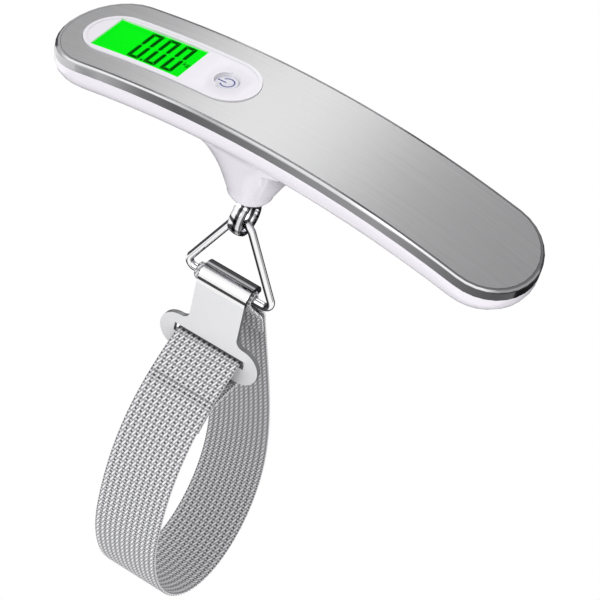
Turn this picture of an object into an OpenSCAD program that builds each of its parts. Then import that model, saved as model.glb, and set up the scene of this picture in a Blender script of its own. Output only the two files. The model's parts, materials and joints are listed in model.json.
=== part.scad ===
// Hanging digital luggage scale: an arched grip with a display, a load cell and a hanger eye,
// and below it a triangular ring with a webbing loop that opens at a steel hook plate.
// Millimetres. The origin is on the top of the grip, on the line of the load, with +Z up.
// +X runs along the grip to its plain end, and -Y is the side that the display is read from.

/* [Grip] */
// Length of the grip
grip_len = 150; // [146:1:156]
// Width of the grip
grip_w = 36; // [34:0.5:40]
// How far the middle of the grip lies from the line of the load
mid_x = 10; // [7:0.5:12]
// Radius of the arch of the top face
arch_r = 306; // [270:2:400]
// Length of each rounded end, seen from above
end_len = 14.8; // [13:0.2:18]
// Height of the chrome band round the top
band_h = 3; // [2.6:0.1:3.6]
// Thickness of the chrome band
band_t = 1.2; // [1:0.1:1.4]
// Bevel on the upper edge of the band
band_bevel = 0.6; // [0.4:0.1:0.8]
// Thickness of the brushed steel plate
plate_t = 0.8; // [0.6:0.1:1]
// Depth of the moulded hull below the band
hull_h = 10.4; // [10:0.2:12]
// Length over which the hull rises to each end
hull_rise = 24; // [20:1:30]
// Wall of the moulded hull
wall = 2; // [1.6:0.1:2.2]

/* [Stem] */
// Radius of the stem at its lower end
stem_r = 6.8; // [6.6:0.1:7.4]
// Level of the flat end of the stem
stem_end_z = -33.3; // [-35:0.1:-33]
// Rounding of the stem's lower edge
stem_edge = 2.8; // [2:0.1:3.2]
// Radius of the sweep from the stem into the hull, seen from the front
stem_sweep = 21; // [19:0.5:24]
// Half the angle of the stem's taper
stem_taper = 24; // [20:1:27]

/* [Display] */
// Radius of the rounded ends of the bezel
bezel_r = 9.7; // [9.3:0.1:10.2]
// Distance from the left end of the grip to the bezel
bezel_margin = 6; // [5:0.2:7.4]
// Distance from the bezel's right end to the line of the load
bezel_reach = 4.2; // [4.2:0.1:6]
// Distance from the bezel's left end to the window
window_inset = 5.7; // [5:0.1:6.4]
// Width of the display window
window_w = 15.4; // [14:0.2:15.6]
// Length of the bezel kept for the button, right of the window
button_room = 20.3; // [20:0.1:21.5]
// Radius of the power button
button_r = 3.3; // [3:0.1:3.6]
// Radius of the recess round the power button
recess_r = 4.25; // [4:0.05:4.6]
// Depth of the power button in its recess
button_drop = 0.85; // [0.6:0.05:0.95]
// Travel of the power button
button_travel = 0.5; // [0.3:0.1:0.5]
// Thickness of the circuit board
board_t = 1; // [0.8:0.1:1.2]

/* [Load cell] */
// Distance from the load cell bar to the battery compartment
cell_room = 1.5; // [1:0.1:3]
// Width of the load cell bar
cell_w = 12; // [11:0.5:13]
// Height of the load cell bar
cell_h = 6; // [5.6:0.1:6.2]
// Radius of the two holes that make the bar bend
cell_bore_r = 2; // [1.8:0.1:2.2]

/* [Hanger] */
// Outer radius of the eye
eye_r = 5.8; // [5.5:0.1:6.1]
// Thickness of the eye's strip
eye_t = 1.2; // [1.1:0.1:1.4]
// Width of the eye's strip
eye_w = 4.2; // [3.8:0.1:4.4]
// Level of the eye's centre
eye_z = -41; // [-41.6:0.1:-40.6]
// How much thinner the band of the eye is at its edges than in its middle
eye_crown = 0.45; // [0.3:0.05:0.6]
// Diameter of the hanger bolt
bolt_d = 4; // [3.8:0.1:4.2]

/* [Ring] */
// Diameter of the ring's wire
wire_d = 2.4; // [2.2:0.1:2.6]
// Length of the ring's base, between the corners of its centre line
ring_base = 30.8; // [30:0.2:34]
// Height of the ring, between the corners of its centre line
ring_h = 29; // [27:0.5:30]
// Bend radius at the top corner
bend_top = 4; // [3.9:0.1:4.4]
// Bend radius at the two lower corners
bend_low = 2.2; // [2:0.1:3]

/* [Hook plate] */
// Thickness of the hook plate
hook_t = 1.6; // [1.4:0.1:1.8]
// Width of the plate's neck and roll
neck_w = 16.4; // [15.6:0.2:17.2]
// Width over the plate's two ears
ear_w = 34; // [33:0.5:35]
// Height of the plate's wide lower part
ear_h = 12.6; // [12:0.2:13.4]
// Length of the slot
slot_len = 24.4; // [23.6:0.2:24.8]
// Height of the slot
slot_h = 3; // [2.6:0.1:3.2]
// Distance of the slot's lower edge below the ring's base
slot_drop = 22.2; // [21:0.2:23]

/* [Webbing] */
// Width of the webbing
web_w = 22; // [20:0.5:22.6]
// Thickness of the webbing
web_t = 1.2; // [1.1:0.1:1.4]
// Lowest level of the loop
loop_z = -193.6; // [-200:1:-185]
// Half the width of the loop, seen from the side
loop_half = 32.4; // [30:0.5:36]

/* [Battery] */
// Radius of the coin cell
coin_r = 10; // [10:0.1:10]
// Thickness of the coin cell
coin_t = 3.2; // [2.5:0.1:3.2]
// Distance from the middle of the battery compartment to the plain end of the grip
coin_inset = 28.5; // [27:0.5:30]
// Radius of the battery cap
cap_r = 11.2; // [11:0.1:11.6]

/* [Clearances] */
// Gap between pieces that sit beside each other
gap = 0.1; // [0.06:0.01:0.14]
// Gap round a moving piece
run_gap = 0.2; // [0.15:0.01:0.25]

/* [Hidden] */
$fn = 64;

// ---- shared geometry of the grip ----
end_steps = 8;       // steps round each quarter of the outline's ends
side_steps = 14;     // steps along each straight side
hull_steps = 9;      // steps down the hull
hull_power = 2.5;    // squareness of the hull's section
arch_c = -sqrt(arch_r * arch_r - mid_x * mid_x);   // level of the centre of the arch
half_len = grip_len / 2;
side_half = half_len - end_len;

// Height of the arched top face at x
function arch_z(x) = arch_c + sqrt(arch_r * arch_r - pow(x - mid_x, 2));
// Slope of the arched top face at x, in degrees
function arch_slope(x) = asin((mid_x - x) / arch_r);
function clamp(v, low, high) = min(max(v, low), high);

// Places children on the top face at x, square to it
module on_arch(x) translate([x, 0, arch_z(x)]) rotate([0, -arch_slope(x), 0]) children();

// Outline of the grip from above, moved in by inset, as points from mid_x
function end_pt(side, a, inset) =
    [side * (side_half + (end_len - inset) * cos(a)), side * (grip_w / 2 - inset) * sin(a)];
function outline(inset) = concat(
    [for (i = [0:end_steps]) end_pt(1, 90 * i / end_steps, inset)],
    [for (i = [1:side_steps - 1]) [side_half * (1 - 2 * i / side_steps), grip_w / 2 - inset]],
    [for (i = [0:2 * end_steps]) end_pt(-1, -90 + 90 * i / end_steps, inset)],
    [for (i = [1:side_steps - 1]) [side_half * (2 * i / side_steps - 1), inset - grip_w / 2]],
    [for (i = [0:end_steps - 1]) end_pt(1, -90 + 90 * i / end_steps, inset)]);

// A closed ring of points on the grip: the outline moved in, at a drop below the top face
function ring_at(inset, drop) =
    [for (p = outline(inset)) [p[0] + mid_x, p[1], arch_z(p[0] + mid_x) - drop]];

// A ring on the hull: turn runs from 0 at the rim to 90 on the keel
function hull_ring(inset, top, depth, turn) =
    let (keel = half_len - hull_rise,
         c = pow(cos(turn), 2 / hull_power),
         s = pow(sin(turn), 2 / hull_power))
    [for (p = outline(inset))
        let (k = clamp(p[0], -keel, keel), x = k + (p[0] - k) * c + mid_x)
        [x, p[1] * c, arch_z(x) - top - depth * s]];

// Flat strips that close a ring whose points mirror each other about its first one
function cap(first, n, up) = [for (m = [0:n / 2 - 1])
    let (a = first + m, b = first + m + 1, c = first + n - 1 - m, d = first + (n - m) % n,
         f = m == 0 ? [a, b, c] : m == n / 2 - 1 ? [a, b, d] : [a, b, c, d])
    up ? [for (i = [len(f) - 1:-1:0]) f[i]] : f];

// Skin over a stack of closed rings; closed joins the last ring to the first
module loft(rings, closed = false) {
    n = len(rings[0]);
    m = len(rings);
    sides = [for (j = [0:(closed ? m - 1 : m - 2)], i = [0:n - 1])
        let (a = j * n + i, b = j * n + (i + 1) % n,
             c = ((j + 1) % m) * n + (i + 1) % n, d = ((j + 1) % m) * n + i)
        [a, d, c, b]];
    ends = closed ? [] : concat(cap(0, n, false), cap((m - 1) * n, n, true));
    polyhedron([for (r = rings) each r], concat(sides, ends), convexity = 6);
}

// A slab that follows the arch, between two levels measured from the top face
module arch_slab(low, high) {
    span = 2 * asin((half_len + 2) / arch_r);
    translate([mid_x, 0, arch_c]) rotate([90, 0, 0])
        rotate_extrude(angle = span, start = 90 - span / 2, $fn = 360)
            translate([arch_r + low, -grip_w]) square([high - low, 2 * grip_w]);
}

// An oblong block with round ends along X, centred, from z = low to z = high
module oblong(span, r, low, high) {
    translate([0, 0, low]) {
        translate([-span / 2, -r, 0]) cube([span, 2 * r, high - low]);
        for (x = [-span / 2, span / 2]) translate([x, 0, 0]) cylinder(r = r, h = high - low);
    }
}

// ---- levels in the grip ----
fit_gap = 0.02;                      // round screws in their holes
collar_in = band_t + gap;            // the hull's collar lies inside the band
collar_t = 1.3;
collar_drop = plate_t + 0.05;        // the plate rests on the collar
bezel_left = mid_x - half_len + bezel_margin;
bezel_right = -bezel_reach;
bezel_span = bezel_right - bezel_left - 2 * bezel_r;
bezel_x = (bezel_left + bezel_right) / 2;
bezel_rise = 0.35;                   // the bezel's rim stands proud of the plate
bezel_face = 0.1;                    // and its face a little less
rim_w = 1;
bezel_wall = 0.52;                   // under the bezel's two ends, where the arch falls away from it
// Lower side of the bezel's face, in the bezel's own frame, like the board and the button
bezel_low = -pow(bezel_right - bezel_left, 2) / (8 * arch_r) - bezel_wall;
board_top = -6.1;
skirt_t = 0.8;
skirt_low = board_top + 0.6;
button_u = bezel_span / 2;
button_face = -pow(button_u, 2) / (2 * arch_r);
button_top = button_face - button_drop;
dish_r = 40;                         // the button's dished face
dish_deep = 0.15;

// ---- the display's own frame, square to the face at the middle of the window ----
window_len = bezel_right - bezel_left - window_inset - button_room;
window_x = bezel_left + window_inset + window_len / 2;
window_top = -0.3;
window_t = 0.4;
window_low = window_top - window_t;
glass_t = 1.6;
glass_margin = 0.4;                  // the LCD glass reaches past its window
glass_low = window_low - 0.05 - glass_t;
light_t = 1.8;
flange_top = bezel_low - gap / 2;
flange_t = 0.8;
post_low = flange_top - flange_t - 0.7;
plunger_top = post_low - button_travel - 0.1;
screw_spots = [[-bezel_span / 2 - 6.7, 0], [bezel_span / 2 - 7.2, 5.9], [bezel_span / 2 - 7.2, -5.9]];
board_screw_r = 0.9;
cell_top = -4.4;
cell_low = cell_top - cell_h;
cell_start = -3.8;
coin_x = mid_x + half_len - coin_inset;
tray_r = cap_r + run_gap + 1.3;
cell_end = coin_x - tray_r - cell_room;
cell_len = cell_end - cell_start;
cell_bores = [0.31 * cell_end, 0.5 * cell_end];   // the two bending holes, from the line of the load
cell_screw_x = [cell_end - 11.8, cell_end - 4.3];
cell_screw_r = 1.5;

// ---- battery compartment, in its own frame ----
cap_face = -11.3;                    // level of the cap's outer face
cap_t = 1.7;
lug_t = 0.8;
coin_low = cap_face + cap_t + lug_t - 0.3;
coin_top = coin_low + coin_t;
tray_top = coin_top + 1.6;
spring_t = 0.3;                      // side contact of the coin cell
spring_w = 4;

// ---- hanger, ring and webbing ----
limb_in = 1.35;                      // half the gap between the eye's two limbs
limb_top = -21.5;
neck_r = 2.5;                        // bend from the eye into its limbs
bolt_low = -19.5;                    // the bolt's thread ends here
bolt_top = -1.9;
blade_low = -31;                     // flat lower part of the bolt, between the limbs
blade_top = -19;
eye_mid = eye_r - eye_t / 2;
wire_r = wire_d / 2;
eye_floor = eye_z - eye_r + eye_t;
bend_in = bend_top - wire_r;
// centre of the top bend: the wire rests on the two edges of the eye's strip
bend_top_z = eye_floor + 0.05 - sqrt(bend_in * bend_in - eye_w * eye_w / 4);
ring_top_z = bend_top_z + bend_top;
leg_angle = atan(ring_base / 2 / ring_h);
apex_z = ring_top_z + bend_top * (1 / sin(leg_angle) - 1);
bar_z = apex_z - ring_h;
bend_low_x = ring_base / 2 - bend_low / tan(45 - leg_angle / 2);
roll_in = wire_r + run_gap + web_t + run_gap;
roll_out = roll_in + hook_t;
plate_y = -(roll_in + hook_t / 2);   // middle of the hook plate's sheet
slot_z = bar_z - slot_drop;          // lower edge of the slot
lip_h = 5.9;                         // strip of plate under the slot
plate_low = slot_z - lip_h;

// ---- hull ----
stem_top_z = -9;
flare_steps = 9;
edge_steps = 4;
taper_z = stem_end_z + stem_edge;
sweep_r0 = 9.4;                      // where the taper turns into the sweep
sweep_z0 = taper_z + (sweep_r0 - stem_r) / tan(stem_taper);

// Half-lengths of the stem's section at level z, along X and along Y
function stem_a(z) = z <= sweep_z0 ? stem_r + (z - taper_z) * tan(stem_taper)
    : let (s = min(1, sin(stem_taper) + (z - sweep_z0) / stem_sweep))
      sweep_r0 + stem_sweep * (cos(stem_taper) - sqrt(1 - s * s));
function stem_b(z) = stem_r + (z - taper_z) * tan(stem_taper) * 0.95;
function stem_ring(a, b, z) = [for (i = [0:47]) [a * cos(i * 7.5), b * sin(i * 7.5), z]];

module stem_solid() loft(concat(
    [for (i = [edge_steps:-1:1]) let (t = 90 * i / edge_steps, r = stem_r - stem_edge * (1 - cos(t)))
        stem_ring(r, r, taper_z - stem_edge * sin(t))],
    [for (i = [0:flare_steps]) let (z = taper_z + (stem_top_z - taper_z) * i / flare_steps)
        stem_ring(stem_a(z), stem_b(z), z)]));

module hull_solid() loft(concat(
    [for (i = [hull_steps:-1:1]) hull_ring(0, band_h, hull_h, 84 * i / hull_steps)],
    [ring_at(0, band_h), ring_at(collar_in, band_h), ring_at(collar_in, collar_drop)]));

module hull_cavity() loft(concat(
    [for (i = [6:-1:1]) hull_ring(collar_in + collar_t, band_h, hull_h - wall, 82 * i / 6)],
    [ring_at(collar_in + collar_t, band_h), ring_at(collar_in + collar_t, -1)]));

module cell_posts() for (x = cell_screw_x) translate([x, 0, cell_low - 3.4]) cylinder(r = 3.4, h = 3.4);

module lower_housing() color("white") difference() {
    union() {
        difference() {
            union() {
                hull_solid();
                stem_solid();
            }
            hull_cavity();
        }
        cell_posts();
    }
    // passage of the hanger through the stem
    translate([-eye_w / 2 - 0.8, -4, stem_end_z - 1]) cube([eye_w + 1.6, 8, 30]);
    // seat of the battery tray
    on_arch(coin_x) translate([0, 0, -20]) cylinder(r = tray_r + gap, h = 20 + tray_top + gap);
    // screws of the load cell
    for (x = cell_screw_x) translate([x, 0, cell_low - 2.6]) cylinder(r = cell_screw_r + fit_gap, h = 3);
}

module trim_band() color("silver") loft([
    ring_at(0, band_h - gap), ring_at(0, band_bevel), ring_at(band_bevel, 0),
    ring_at(band_t, 0), ring_at(band_t, band_h - gap)], closed = true);

module top_plate() color("lightgray") difference() {
    intersection() {
        arch_slab(-plate_t, 0);
        translate([mid_x, 0, -30]) linear_extrude(40) polygon(outline(band_t + gap));
    }
    on_arch(bezel_x) oblong(bezel_span, bezel_r + gap, -4, 4);
}

// A block centred on the window, larger than it by more on every side
module window_block(more, low, high) translate([-window_len / 2 - more, -window_w / 2 - more, low])
    cube([window_len + 2 * more, window_w + 2 * more, high - low]);

module display_bezel() color("white") difference() {
    union() {
        intersection() {
            arch_slab(-5, bezel_face);
            on_arch(bezel_x) oblong(bezel_span, bezel_r, bezel_low, 3);
        }
        intersection() {
            arch_slab(-1, bezel_rise);
            on_arch(bezel_x) difference() {
                oblong(bezel_span, bezel_r, bezel_low, 3);
                oblong(bezel_span, bezel_r - rim_w, bezel_low - 1, 4);
            }
        }
        on_arch(bezel_x) difference() {
            oblong(bezel_span, bezel_r - gap, skirt_low, bezel_low);
            oblong(bezel_span, bezel_r - gap - skirt_t, skirt_low - 1, bezel_low);
        }
        on_arch(bezel_x) for (p = screw_spots) translate([p[0], p[1], board_top])
            cylinder(r = 1.6, h = bezel_low - board_top);
    }
    on_arch(window_x) {
        window_block(0, -9, 3);
        window_block(glass_margin + gap, -9, window_low);
    }
    on_arch(bezel_x) {
        translate([button_u, 0, -3]) cylinder(r = button_r + run_gap, h = 6);
        translate([button_u, 0, button_top - 0.1])
            cylinder(r1 = button_r + run_gap, r2 = recess_r, h = button_drop + 0.1);
        // soft rim of the recess, square to the face there
        translate([button_u, 0, button_face]) rotate([0, asin(button_u / arch_r), 0])
            translate([0, 0, -0.05]) cylinder(r1 = recess_r - 0.05, r2 = recess_r + 0.75, h = 0.45);
        for (p = screw_spots) translate([p[0], p[1], board_top - 1])
            cylinder(r = board_screw_r + fit_gap, h = 3.4);
    }
}

module display_window() color([0.9, 0.95, 0.9, 0.4]) on_arch(window_x)
    window_block(-gap, window_low, window_top);

module lcd_glass() color("limegreen") on_arch(window_x)
    window_block(glass_margin, glass_low, glass_low + glass_t);

module backlight() color("palegreen") on_arch(window_x)
    translate([-window_len / 2, -window_w / 2 + 1.2, glass_low - light_t])
        cube([window_len, window_w - 2.4, light_t]);

module contact_strips() color("dimgray") difference() {
    on_arch(window_x) for (side = [-1, 1])
        translate([-window_len / 2 + 1, side * (window_w / 2 - 0.1) - 0.7, board_top - 1])
            cube([window_len - 2, 1.4, glass_low - board_top + 1]);
    on_arch(bezel_x) translate([-bezel_span, -bezel_r, board_top - 9])
        cube([2 * bezel_span, 2 * bezel_r, 9]);
}

module circuit_board() color("darkgreen") on_arch(bezel_x) difference() {
    oblong(bezel_span, bezel_r - skirt_t - 2 * gap, board_top - board_t, board_top);
    for (p = screw_spots) translate([p[0], p[1], board_top - 2]) cylinder(r = board_screw_r + 0.1, h = 3);
}

chip = 7;
crystal = 4;

module board_parts() color("black") on_arch(bezel_x) translate([0, 0, board_top - board_t]) {
    translate([-10, -chip / 2, -1]) cube([chip, chip, 1]);
    translate([-16, -crystal / 2, -1.4]) cube([3, crystal, 1.4]);
    for (i = [0:3], y = [-4, 2]) translate([0.5 + 2.4 * i, y, -0.6]) cube([1.2, 0.7, 0.6]);
}

module power_switch() color("gray") on_arch(bezel_x) translate([button_u, 0, 0]) {
    translate([-3, -3, board_top]) cube([6, 6, plunger_top - 0.4 - board_top]);
    translate([0, 0, board_top]) cylinder(r = 1.3, h = plunger_top - board_top);
}

module power_button() color("gainsboro") on_arch(bezel_x) translate([button_u, 0, 0]) difference() {
    union() {
        translate([0, 0, flange_top - flange_t]) cylinder(r = button_r, h = button_top - flange_top + flange_t);
        translate([0, 0, flange_top - flange_t]) cylinder(r = button_r + 0.9, h = flange_t);
        translate([0, 0, post_low]) cylinder(r = 1.2, h = flange_top - post_low);
    }
    translate([0, 0, button_top - dish_deep + dish_r]) sphere(r = dish_r, $fn = 120);
}

module board_screws() color("silver") on_arch(bezel_x) for (p = screw_spots) translate([p[0], p[1], 0]) {
    translate([0, 0, board_top - board_t - 0.9]) cylinder(r = 1.7, h = 0.9);
    translate([0, 0, board_top - board_t - 0.9]) cylinder(r = board_screw_r, h = 0.9 + board_t + 2.2);
}

module load_cell() color("lightsteelblue") difference() {
    translate([cell_start, -cell_w / 2, cell_low]) cube([cell_len, cell_w, cell_h]);
    for (x = cell_bores) translate([x, cell_w, cell_low + cell_h / 2]) rotate([90, 0, 0])
        cylinder(r = cell_bore_r, h = 2 * cell_w);
    translate([cell_bores[0], -cell_w, cell_low + cell_h / 2 - 0.6])
        cube([cell_bores[1] - cell_bores[0], 2 * cell_w, 1.2]);
    translate([0, 0, cell_low - 1]) cylinder(r = bolt_d / 2 + fit_gap, h = cell_h + 2);
    for (x = cell_screw_x) translate([x, 0, cell_low - 1]) cylinder(r = cell_screw_r + 0.1, h = cell_h + 2);
}

module strain_gauges() color("orange") for (x = cell_bores, z = [cell_top, cell_low - 0.15])
    translate([x - 2.4, -2, z]) cube([4.8, 4, 0.15]);

module cell_screws() color("silver") for (x = cell_screw_x) translate([x, 0, 0]) {
    translate([0, 0, cell_top]) cylinder(r = 2.7, h = 1.5);
    translate([0, 0, cell_low - 2.5]) cylinder(r = cell_screw_r, h = cell_h + 2.6);
}

module hanger_bolt() color("silver") difference() {
    union() {
        translate([0, 0, bolt_low]) cylinder(r = bolt_d / 2, h = bolt_top - bolt_low);
        translate([-eye_w / 2, 0.05 - limb_in, blade_low])
            cube([eye_w, 2 * limb_in - 0.1, blade_top - blade_low]);
    }
    translate([0, 5, rivet_z]) rotate([90, 0, 0]) cylinder(r = rivet_r + fit_gap, h = 10);
}

module hanger_nut() color("silver") difference() {
    translate([0, 0, cell_top]) rotate([0, 0, 30]) cylinder(r = 4.04, h = 2.2, $fn = 6);
    translate([0, 0, cell_top - 1]) cylinder(r = bolt_d / 2 + fit_gap, h = 5);
}

rivet_z = -26;
rivet_r = 1;
limb_out = limb_in + eye_t;

module hanger_rivet() color("silver") {
    translate([0, limb_out, rivet_z]) rotate([90, 0, 0]) cylinder(r = rivet_r, h = 2 * limb_out);
    for (side = [0, 1]) mirror([0, side, 0]) translate([0, limb_out + 0.7, rivet_z]) rotate([90, 0, 0])
        cylinder(r = 1.6, h = 0.7);
}

// Half-width and height of the point where the eye's circle meets the bend of its neck
neck_y = limb_in + eye_t / 2 + neck_r;
neck_dz = sqrt(pow(eye_mid + neck_r, 2) - neck_y * neck_y);
neck_z = eye_z + neck_dz;
// Height over the eye's centre at which its circle turns into the neck
bend_dz = neck_dz * eye_mid / (eye_mid + neck_r);
crown_r = (eye_w * eye_w / 4 + eye_crown * eye_crown) / (2 * eye_crown);

module eye_outline() {
    wedge = [[0, 0], [neck_y, neck_dz] * 3, [-neck_y, neck_dz] * 3];
    difference() {
        circle(r = eye_r);
        circle(r = eye_r - eye_t);
        polygon(wedge);
    }
    for (side = [0, 1]) mirror([side, 0]) {
        intersection() {
            translate([neck_y, neck_dz]) difference() {
                circle(r = neck_r + eye_t / 2);
                circle(r = neck_r - eye_t / 2);
            }
            polygon([[0.1, 0], [neck_y + 0.1, neck_dz], [0, neck_dz]]);
        }
        translate([limb_in, neck_dz - 0.02]) square([eye_t, limb_top - neck_z]);
    }
}

// Barrel whose bulging side is the outer face of the eye
module eye_barrel() rotate([0, 90, 0]) rotate_extrude() intersection() {
    translate([0, -eye_w / 2]) square([eye_r, eye_w]);
    translate([eye_r - crown_r, 0]) circle(r = crown_r);
}

module hanger_eye() color("silver") difference() {
    intersection() {
        translate([-eye_w / 2, 0, eye_z]) rotate([90, 0, 90]) linear_extrude(eye_w) eye_outline();
        union() {
            translate([0, 0, eye_z]) eye_barrel();
            translate([-eye_w / 2, -eye_r, eye_z + bend_dz]) cube([eye_w, 2 * eye_r, limb_top - eye_z]);
        }
    }
    translate([0, 5, rivet_z]) rotate([90, 0, 0]) cylinder(r = rivet_r + fit_gap, h = 10);
}

module battery_tray() color("whitesmoke") on_arch(coin_x) difference() {
    translate([0, 0, cap_face]) cylinder(r = tray_r, h = tray_top - cap_face);
    translate([0, 0, cap_face - 1]) cylinder(r = cap_r + run_gap, h = cap_t + lug_t + 1.1);
    translate([0, 0, cap_face + cap_t - 0.1]) cylinder(r = cap_r + 1, h = lug_t + 0.2);
    translate([0, 0, cap_face]) cylinder(r = coin_r + run_gap, h = coin_top + 0.6 - cap_face);
    // pocket of the side contact
    translate([coin_r - 1, -spring_w / 2 - gap, coin_low + 0.7])
        cube([1.05 + spring_t + gap, spring_w + 2 * gap, coin_t - 0.8]);
    // the lugs enter here
    rotate([0, 0, 60]) translate([-cap_r - 1, -3, cap_face - 1]) cube([2 * cap_r + 2, 6, cap_t + 2]);
}

module coin_cell() color("silver") on_arch(coin_x) translate([0, 0, coin_low]) {
    cylinder(r = coin_r, h = coin_t - 0.4);
    cylinder(r = coin_r - 1.2, h = coin_t);
}

module contact_plus() color("gold") on_arch(coin_x) {
    translate([coin_r + 0.05, -spring_w / 2, coin_low + 0.8]) cube([spring_t, spring_w, coin_t - 1]);
}

module contact_minus() color("gold") on_arch(coin_x)
    translate([-5, -1.5, coin_top]) cube([10, 3, 0.5]);

module battery_cap() color("whitesmoke") on_arch(coin_x) difference() {
    union() {
        translate([0, 0, cap_face]) cylinder(r = cap_r, h = cap_t);
        difference() {
            translate([0, 0, cap_face]) cylinder(r = cap_r, h = cap_t + lug_t);
            translate([0, 0, cap_face]) cylinder(r = coin_r + run_gap, h = cap_t + lug_t + 1);
        }
        intersection() {
            translate([0, 0, cap_face + cap_t]) difference() {
                cylinder(r = cap_r + 0.8, h = lug_t);
                translate([0, 0, -1]) cylinder(r = coin_r + run_gap, h = lug_t + 2);
            }
            translate([-20, -2.5, cap_face]) cube([40, 5, 9]);
        }
    }
    // slot for a coin
    translate([-8, -1.1, cap_face - 1]) cube([16, 2.2, 1.9]);
}

// ---- triangular ring ----
module bend(x, z, r, a0, a1) translate([x, 0, z]) rotate([90, 0, 0])
    rotate_extrude(angle = a1 - a0, start = a0, $fn = 120) translate([r, 0]) circle(r = wire_r, $fn = 40);

// A straight leg is a hair thinner than the bends, and runs into them
module rod(a, b) {
    d = b - a;
    translate([a[0], 0, a[1]]) rotate([0, atan2(d[0], d[1]), 0]) translate([0, 0, -0.15])
        cylinder(r = wire_r - 0.015, h = norm(d) + 0.3, $fn = 40);
}

module d_ring() color("silver") {
    n = [cos(leg_angle), sin(leg_angle)];
    low = [bend_low_x, bar_z + bend_low];
    bend(0, bend_top_z, bend_top, leg_angle, 180 - leg_angle);
    bend(low[0], low[1], bend_low, 270, 360 + leg_angle);
    bend(-low[0], low[1], bend_low, 180 - leg_angle, 270);
    for (side = [-1, 1])
        rod([side * (low[0] + bend_low * n[0]), low[1] + bend_low * n[1]],
            [side * bend_top * n[0], bend_top_z + bend_top * n[1]]);
    rod([-bend_low_x, bar_z], [bend_low_x, bar_z]);
}

// ---- webbing: its path in the plane of Y and Z ----
back_lean = 18.7;                    // the back strand leaves the bar at this angle
front_rise = 28;                     // the front strand enters the slot at this angle
wrap_r = wire_r + run_gap + web_t / 2;
fold_r = hook_t / 2 + gap + web_t / 2;
sewn = web_t + 0.05;                 // two sewn layers, middle to middle

function dir(a) = [cos(a), sin(a)];
function arc(c, r, a0, a1, n) = [for (i = [0:n]) c + r * dir(a0 + (a1 - a0) * i / n)];
function bez(a, b, c, d, t) = pow(1 - t, 3) * a + 3 * t * pow(1 - t, 2) * b
    + 3 * t * t * (1 - t) * c + pow(t, 3) * d;
function curve(q, n, t0 = 0, t1 = 1) =
    [for (i = [1:n]) bez(q[0], q[1], q[2], q[3], t0 + (t1 - t0) * i / n)];
function side_of(p, i) =
    let (d = p[min(i + 1, len(p) - 1)] - p[max(i - 1, 0)]) [-d[1], d[0]] / norm(d);
function shifted(p, by) = [for (i = [0:len(p) - 1]) p[i] + by * side_of(p, i)];
function strip(p, t) = let (a = shifted(p, t / 2), b = shifted(p, -t / 2))
    concat(a, [for (i = [len(b) - 1:-1:0]) b[i]]);

bar = [0, bar_z];
back_dir = [sin(back_lean), -cos(back_lean)];
back_start = bar + wrap_r * dir(back_lean);
slot_c = [plate_y, slot_z];
front_end = slot_c + fold_r * dir(90 + front_rise);
wide_back = -163;
wide_front = -141;
bottom_y = 9;
back_q = [back_start, back_start + 35 * back_dir, [loop_half - 1.4, wide_back + 25],
          [loop_half - 1.4, wide_back]];
low_q = [back_q[3], [loop_half - 1.4, wide_back - 18], [bottom_y + 13, loop_z], [bottom_y, loop_z]];
rise_q = [low_q[3], [bottom_y - 21, loop_z], [-loop_half, wide_front - 24], [-loop_half, wide_front]];
front_q = [rise_q[3], [-loop_half, wide_front + 23], front_end - 25 * dir(front_rise), front_end];
function front_at(t) = bez(front_q[0], front_q[1], front_q[2], front_q[3], t);
seam_line = shifted([for (i = [0:12]) front_at(0.64 + 0.012 * i)], -sewn);
seam_end = seam_line[12];
seam_dir = (seam_end - seam_line[11]) / norm(seam_end - seam_line[11]);
low_c = [plate_y, plate_low];

// the sewn end at the bar lies in front of the back strand
function back_at(t) = bez(back_q[0], back_q[1], back_q[2], back_q[3], t);
tail_line = shifted([for (i = [0:6]) back_at(0.085 + 0.011 * i)], -sewn);
tail_off = [for (i = [6:-1:0]) tail_line[i]];
tail_gap = tail_line[0] - bar;
leave = atan2(tail_gap[1], tail_gap[0]) - acos(wrap_r / norm(tail_gap)) + 360;

loop_path = concat(
    tail_off, arc(bar, wrap_r, leave, back_lean, 26),
    curve(back_q, 26), curve(low_q, 12), curve(rise_q, 20), curve(front_q, 26),
    arc(slot_c, fold_r, 90 + front_rise - 8, 0, 12),
    arc(low_c, fold_r, 0, -90, 8),
    curve([low_c - [0, fold_r], low_c - [4, fold_r], seam_end + 1.5 * seam_dir, seam_end], 8),
    [for (i = [11:-1:0]) seam_line[i]]);

// A row of stitches joins two layers: centre, direction and length
module seam(c, d, long) translate(c) rotate(atan2(d[1], d[0])) square([long, 0.6], center = true);

module strap_webbing() color("silver") translate([-web_w / 2, 0, 0]) rotate([90, 0, 90]) {
    linear_extrude(web_w) polygon(strip(loop_path, web_t));
    linear_extrude(web_w) seam((tail_line[3] + back_at(0.118)) / 2, tail_line[4] - tail_line[2], 4);
    linear_extrude(web_w) seam((seam_line[5] + front_at(0.7)) / 2, seam_line[6] - seam_line[4], 4);
}

// ---- hook plate ----
module plate_outline() {
    difference() {
        union() {
            translate([-neck_w / 2, plate_low + ear_h / 2]) square([neck_w, bar_z - plate_low - ear_h / 2]);
            for (side = [-1, 1]) translate([side * (ear_w - ear_h) / 2, plate_low + ear_h / 2])
                circle(r = ear_h / 2);
            translate([-(ear_w - ear_h) / 2, plate_low]) square([ear_w - ear_h, ear_h]);
            for (side = [0, 1]) mirror([side, 0]) translate([neck_w / 2, plate_low + ear_h])
                difference() {
                    translate([-1, -1]) square([3.6, 3.6]);
                    translate([2.6, 2.6]) circle(r = 2.6);
                }
        }
        translate([-slot_len / 2, slot_z]) square([slot_len, slot_h]);
    }
}

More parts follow.
